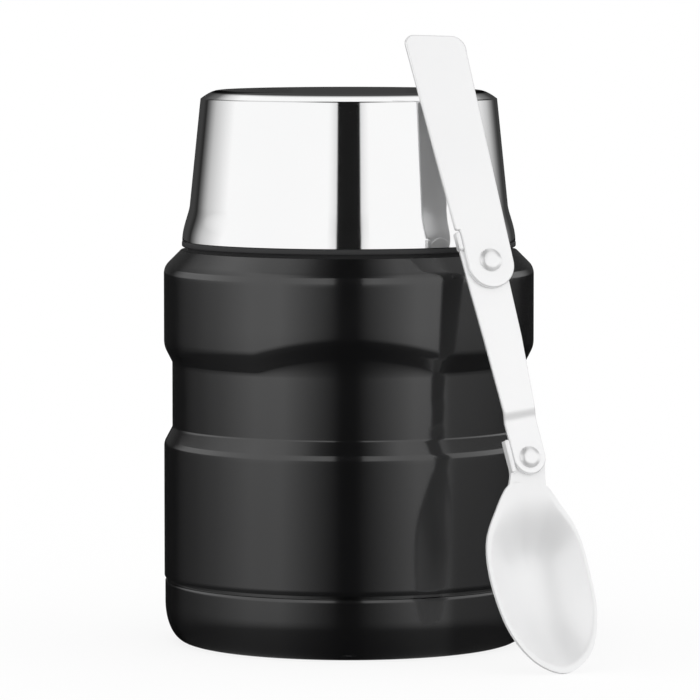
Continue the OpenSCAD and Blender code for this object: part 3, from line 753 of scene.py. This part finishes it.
def blank(name, outline, low, high):
    """A flat piece cut to an outline, between two heights in the spoon's frame."""
    deselect()
    bpy.ops.mesh.primitive_circle_add(vertices=len(outline), radius=MM)
    obj = bpy.context.object
    obj.name = name
    for vertex, (x, y) in zip(obj.data.vertices, outline):
        vertex.co = Vector((x, y, low)) * MM
    bpy.ops.object.mode_set(mode="EDIT")
    bpy.ops.mesh.select_all(action="SELECT")
    bpy.ops.mesh.edge_face_add()
    bpy.ops.mesh.extrude_region_move(TRANSFORM_OT_translate={"value": (0, 0, (high - low) * MM)})
    bpy.ops.mesh.select_all(action="SELECT")
    bpy.ops.mesh.normals_make_consistent(inside=False)
    bpy.ops.object.mode_set(mode="OBJECT")
    return obj


def soften(obj, width=0.3, segments=3, angle=40):
    """Rounds every edge sharper than the angle, and keeps the flats flat."""
    smooth(obj, 35)
    bevel = obj.modifiers.new("edges", "BEVEL")
    bevel.width, bevel.segments = width * MM, segments
    bevel.limit_method, bevel.angle_limit = "ANGLE", math.radians(angle)
    bevel.harden_normals = True
    bpy.ops.object.modifier_apply(modifier=bevel.name)
    return obj


def ear(name, x, y, z):
    """A stop tab: a small block between two corners."""
    deselect()
    bpy.ops.mesh.primitive_cube_add(size=1)
    obj = bpy.context.object
    obj.name = name
    low, high = Vector((x[0], y[0], z[0])) * MM, Vector((x[1], y[1], z[1])) * MM
    obj.location, obj.scale = (low + high) / 2, high - low
    place(obj)
    return soften(obj, 0.4, 4)


def join(main, *others):
    activate(main)
    for other in others:
        other.select_set(True)
    bpy.ops.object.join()
    return main


# %% [markdown]
# ## Spoon bowl
# The bowl is pressed from the flat blank: its rim stays in one plane, the hollow is deepest in
# the middle and fades out at the neck, and the stem stays flat. The outline is one smooth closed
# line through a few points, and rings are extruded from it towards the middle. A narrow flat land
# runs all round, where the real rim is ground, and the hollow starts inside it. The stem is
# extruded upwards from the neck. Last the sheet gets its thickness and a rounded rim.

# %% Outline of the bowl
BOWL_MIDDLE = Vector((-4.4, -31))
BOWL_DEPTH = 7
HOLLOW_TOP, HOLLOW_RUN = -5, 20    # where the hollow begins below the neck, and how softly
LAND = 0.925                       # the ring on which the flat land ends
HOLLOW_POWER = 2.3                 # above 2 the hollow has a flatter floor and steeper sides
RIM = [Vector(p) for p in (
    (-6.6, -5.6), (-1.7, -6.2), (2.8, -7.5), (5, -12), (8, -20), (8.5, -30), (7.6, -41), (3.5, -50),
    (-4, -53.7), (-11.3, -49.5), (-16, -40.5), (-17.4, -28.5), (-16, -18.5), (-11.6, -11.2))]
RIM_STEPS = 8
NECK_CELLS = 2 * RIM_STEPS         # the outline's first three points lie across the neck
RINGS = [1, 0.96, 0.935, 0.915, 0.89, 0.85, 0.79, 0.71, 0.62, 0.52, 0.41, 0.3, 0.19, 0.09]
STEM_SIDES = (
    [Vector(p) for p in ((-6.6, -5.6), (-5.85, -4), (-5.4, -2.4), (-5.4, 0))],
    [Vector(p) for p in ((2.8, -7.5), (3.5, -4), (3.95, -2.2), (4.25, 0))])
STEM_TOP, STEM_ROUND = 5.2, 3


def curve_at(points, k, t):
    """A point of the smooth line through the points, between number k and the next."""
    a, b, c, d = (points[(k + m) % len(points)] for m in (-1, 0, 1, 2))
    return 0.5 * (2 * b + (c - a) * t + (2 * a - 5 * b + 4 * c - d) * t ** 2
                  + (3 * b - a - 3 * c + d) * t ** 3)


def open_line(points, steps):
    """A smooth line through the points, without the first, its ends drawn straight on."""
    ends = [2 * points[0] - points[1], *points, 2 * points[-1] - points[-2]]
    return [curve_at(ends, k + 1, (s + 1) / steps) for k in range(len(points) - 1) for s in range(steps)]


def bowl_point(rim_point, ring):
    at = BOWL_MIDDLE.lerp(rim_point, ring)
    share = min(max((HOLLOW_TOP - at.y) / HOLLOW_RUN, 0), 1)
    depth = BOWL_DEPTH * (1 - min(ring / LAND, 1) ** HOLLOW_POWER) * share * share * (3 - 2 * share)
    return Vector((at.x, at.y, SHEET - depth)) * MM


bowl_loop = [curve_at(RIM, k, s / RIM_STEPS) for k in range(len(RIM)) for s in range(RIM_STEPS)]
stem_rows = list(zip(*(open_line(side, 4) for side in STEM_SIDES)))
stem_corner = (STEM_SIDES[1][-1].x - STEM_ROUND, STEM_TOP - STEM_ROUND)
stem_rows += [(Vector((STEM_SIDES[0][-1].x, y)), Vector((x, y)))
              for x, y in arc(stem_corner, STEM_ROUND, 0, 90, 6)]
print(len(bowl_loop), "points round the bowl,", len(stem_rows), "rows up the stem")

# %% Spoon bowl
deselect()
bpy.ops.mesh.primitive_circle_add(vertices=len(bowl_loop), radius=MM)
spoon_bowl = bpy.context.object
spoon_bowl.name = "spoon_bowl_steel"
bpy.ops.object.mode_set(mode="EDIT")
bpy.ops.mesh.select_all(action="SELECT")
for _ in RINGS[1:]:
    bpy.ops.mesh.extrude_edges_move()
bpy.ops.mesh.edge_face_add()
bpy.ops.mesh.poke()
bpy.ops.mesh.select_all(action="DESELECT")
bpy.ops.object.mode_set(mode="OBJECT")
around_rim = len(bowl_loop)
for index, vertex in enumerate(spoon_bowl.data.vertices):
    ring, place_on_rim = divmod(index, around_rim)
    if ring < len(RINGS):
        vertex.co = bowl_point(bowl_loop[place_on_rim], RINGS[ring])
    else:
        vertex.co = Vector((*BOWL_MIDDLE, SHEET - BOWL_DEPTH)) * MM
    vertex.select = index <= NECK_CELLS
bpy.ops.object.mode_set(mode="EDIT")
for _ in stem_rows:
    bpy.ops.mesh.extrude_edges_move()
bpy.ops.object.mode_set(mode="OBJECT")
stem_points = spoon_bowl.data.vertices[around_rim * len(RINGS) + 1:]
for index, vertex in enumerate(stem_points):
    row, cell = divmod(index, NECK_CELLS + 1)
    vertex.co = stem_rows[row][0].lerp(stem_rows[row][1], cell / NECK_CELLS).to_3d() * MM
    vertex.co.z = SHEET * MM
outwards(spoon_bowl)
bpy.ops.object.mode_set(mode="EDIT")
bpy.ops.mesh.select_all(action="SELECT")
bpy.ops.mesh.extrude_region_move(TRANSFORM_OT_translate={"value": (0, 0, -SHEET * MM)})
bpy.ops.object.mode_set(mode="OBJECT")
outwards(spoon_bowl)
soften(spoon_bowl, 0.32, 3, 50)
smooth(spoon_bowl, 40)
lower_ear = ear("lower_ear", (-5.5, -4.35), (-3, 5.2), (SHEET / 2, STEP + SHEET + 0.3))
in_spoon(join(spoon_bowl, lower_ear))
finish_with(spoon_bowl, STEEL_BOWL)
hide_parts("spoon_bowl")
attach(spoon_bowl, "bowl")
print("bowl", len(spoon_bowl.data.polygons), "faces")

# %% [markdown]
# ## Link
# The middle link turns on the bowl's stem and carries the handle. It steps forward by one sheet
# above the lower rivet, so that the handle folds flat in front of it. Its outline is cut first.
# Cuts across the step let it bend in a soft S, and an ear on its left side stops the handle.

# %% Link
LINK_END_R = 4.2
STEP_FROM, STEP_TO = 9.0, 12.4     # heights over which the link steps forward
HANDLE_END_R = 6.05
UPPER_EAR_Y = (3.7, 8.3)

link_outline = [
    *arc((0, 0), LINK_END_R, 180, 360, 20), (4.25, 12), (5.5, 30), (5.9, 44),
    *arc((0.45, 53.0), 5.5, 0, 180, 20), (-4.9, 44), (-4.5, 30), (-4.2, 12)]
spoon_link = blank("spoon_link_steel", link_outline, STEP, STEP + SHEET)
bpy.ops.object.mode_set(mode="EDIT")
for k in range(7):
    cut = STEP_FROM + (STEP_TO - STEP_FROM) * k / 6
    bpy.ops.mesh.select_all(action="SELECT")
    bpy.ops.mesh.bisect(plane_co=(0, cut * MM, 0), plane_no=(0, 1, 0))
bpy.ops.object.mode_set(mode="OBJECT")
for vertex in spoon_link.data.vertices:
    t = min(max((vertex.co.y / MM - STEP_FROM) / (STEP_TO - STEP_FROM), 0), 1)
    vertex.co.z += STEP * t * t * (3 - 2 * t) * MM
soften(spoon_link, 0.35, 4)
upper_ear = ear("upper_ear", (UPPER[0] - HANDLE_END_R - 1.25, UPPER[0] - HANDLE_END_R - 0.1),
                [UPPER[1] + y for y in UPPER_EAR_Y], (2 * STEP + 0.05, 3 * STEP + SHEET + 0.2))
in_spoon(join(spoon_link, upper_ear))
finish_with(spoon_link, STEEL_SPOON)
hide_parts("spoon_link")
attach(spoon_link, "link")
print("link", len(spoon_link.data.polygons), "faces")

# %% [markdown]
# ## Handle
# The handle is a plain flat sheet: a round end about its rivet, sides that widen upwards, and a
# slightly slanted top with two rounded corners. A notch in its left side clears the link's ear.

# %% Handle
HANDLE_TURN = -0.5
handle_outline = [
    *arc((0, -0.9), HANDLE_END_R, 180, 360, 28), (6.2, 7), (7.25, 52),
    *arc((3.6, 54.1), 3.75, 2, 84, 8), *arc((-6.05, 57.2), 2.25, 86, 178, 8),
    (-7.2, UPPER_EAR_Y[1] + 0.9), (-7.0, UPPER_EAR_Y[1] + 0.4), (-HANDLE_END_R, UPPER_EAR_Y[1] + 0.3)]
spoon_handle = blank("spoon_handle_steel", handle_outline, 3 * STEP, 3 * STEP + SHEET)
soften(spoon_handle, 0.4, 4)
activate(spoon_handle)
spoon_handle.rotation_euler = (0, 0, math.radians(HANDLE_TURN))
place(spoon_handle)
in_spoon(spoon_handle, UPPER)
finish_with(spoon_handle, STEEL_SPOON)
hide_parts("spoon_handle")
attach(spoon_handle, "handle")
print("handle", len(spoon_handle.data.polygons), "faces")

# %% [markdown]
# ## Rivets
# Each rivet's head has a steep side and a domed crown, and its closed end behind is a low button.
# Both are turned from the same outline, which is given the two heights that the rivet holds.

# %% Rivets
SHANK_R = 1.6


def rivet(name, back, front, head_r, at, body, node):
    dome = [(head_r - 0.12, front + 0.35), (head_r - 0.75, front + 0.72), (head_r - 1.1, front + 0.84),
            (head_r * 0.35, front + 0.9), (0, front + 0.9)]
    obj = lathe(name, [
        (0, back - 0.5), (head_r - 0.8, back - 0.5), (head_r - 0.5, back - 0.42), (head_r - 0.35, back),
        (SHANK_R, back), (SHANK_R, front), (head_r - 0.05, front), (head_r, front + 0.06), *dome],
        columns=64)
    smooth(obj, 40)
    in_spoon(obj, at)
    finish_with(obj, STEEL_RIVET)
    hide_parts(node)
    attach(obj, body)


rivet("lower_rivet_steel", 0, STEP + SHEET + PLAY / 2, 2.7, (0, 0), "bowl", "lower_rivet")
rivet("upper_rivet_steel", 2 * STEP, 3 * STEP + SHEET + PLAY / 2, 2.9, UPPER, "link", "upper_rivet")

# %% [markdown]
# ## Threads
# The stopper screws on the neck and the lid screws on the stopper, both on coarse threads with
# three starts, so that one turn lifts them by twelve millimetres. A thread on such parts is a
# rounded rib that rises and ends softly. One rib is drawn as a thick line along a helix, thinner
# at its ends, made a mesh, and copied to the other two starts.

# %% Threads
LEAD, STARTS = 12, 3
RIB_R = 0.8                        # radius of the rib's section


def thread(name, radius, z0, z1, first_turn, material, body):
    curve = bpy.data.curves.new(name, "CURVE")
    curve.dimensions, curve.bevel_depth, curve.bevel_resolution = "3D", RIB_R * MM, 3
    curve.use_fill_caps = True
    sweep = 360 * (z1 - z0) / LEAD
    steps = int(sweep / 5)
    line = curve.splines.new("POLY")
    line.points.add(steps)
    for k, point in enumerate(line.points):
        turn = math.radians(first_turn + sweep * k / steps)
        point.co = (radius * math.cos(turn) * MM, radius * math.sin(turn) * MM,
                    (z0 + (z1 - z0) * k / steps) * MM, 1)
        point.radius = min(1, 0.25 + 0.2 * min(k, steps - k))
    rib = bpy.data.objects.new(name, curve)
    bpy.context.scene.collection.objects.link(rib)
    activate(rib)
    bpy.ops.object.convert(target="MESH")
    rib = bpy.context.object
    copies = []
    for start in range(1, STARTS):
        copy = rib.copy()
        copy.data = rib.data.copy()
        bpy.context.scene.collection.objects.link(copy)
        copy.data.transform(Matrix.Rotation(math.tau * start / STARTS, 4, "Z"))
        copies.append(copy)
    join(rib, *copies)
    outwards(rib)
    smooth(rib, 60)
    finish_with(rib, material)
    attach(rib, body)
    print(name, len(rib.data.polygons), "faces")


thread("neck_thread", 35.2, SHOULDER_Z + 2.4, SHOULDER_Z + 8.6, 0, STEEL_SATIN, "jar")
thread("stopper_inner_thread", 36.0, SHOULDER_Z + 3.2, SHOULDER_Z + 9.0, 84,
       BLACK_PLASTIC, "stopper")
thread("stopper_outer_thread", 37.7, SHOULDER_Z + 3.6, SHOULDER_Z + 9.0, 30,
       BLACK_PLASTIC, "stopper")
thread("collar_thread", 38.7, LID_LOW_Z + 1.2, LID_LOW_Z + 5.6, 87, BLACK_PLASTIC, "cup")

# %% [markdown]
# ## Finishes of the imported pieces
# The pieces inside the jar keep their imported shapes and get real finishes: satin steel for the
# vessel, neck and vacuum base, copper foil, a dull getter ring, a brass-coloured bead of braze,
# silicone, foam, and moulded plastic for the stopper and the lid's collar.

# %% Inner finishes
PACKED_FINISHES = {
    "threaded_neck": STEEL_SATIN, "inner_liner": STEEL_SATIN, "vacuum_base": STEEL_SATIN,
    "cup_liner": STEEL_SATIN, "vacuum_seal": SEAL_BRAZE, "getter": GETTER_ALLOY,
    "radiation_foil": COPPER_FOIL, "stopper_gasket": SILICONE, "stopper_cap": BLACK_PLASTIC,
    "stopper_tray": GREY_PLASTIC, "stopper_plug": BLACK_PLASTIC, "stopper_foam": FOAM,
    "cup_collar": BLACK_PLASTIC}
for node, material in PACKED_FINISHES.items():
    for slot in frame["nodes"][node].material_slots:
        slot.material = material
print(len(PACKED_FINISHES), "packed pieces dressed")

# %% [markdown]
# ## Last update
# The view layer is updated once more, now that every piece is placed. The dressed jar has to
# stay in the solids' box.

# %% Update the view layer
import json

bpy.context.view_layer.update()
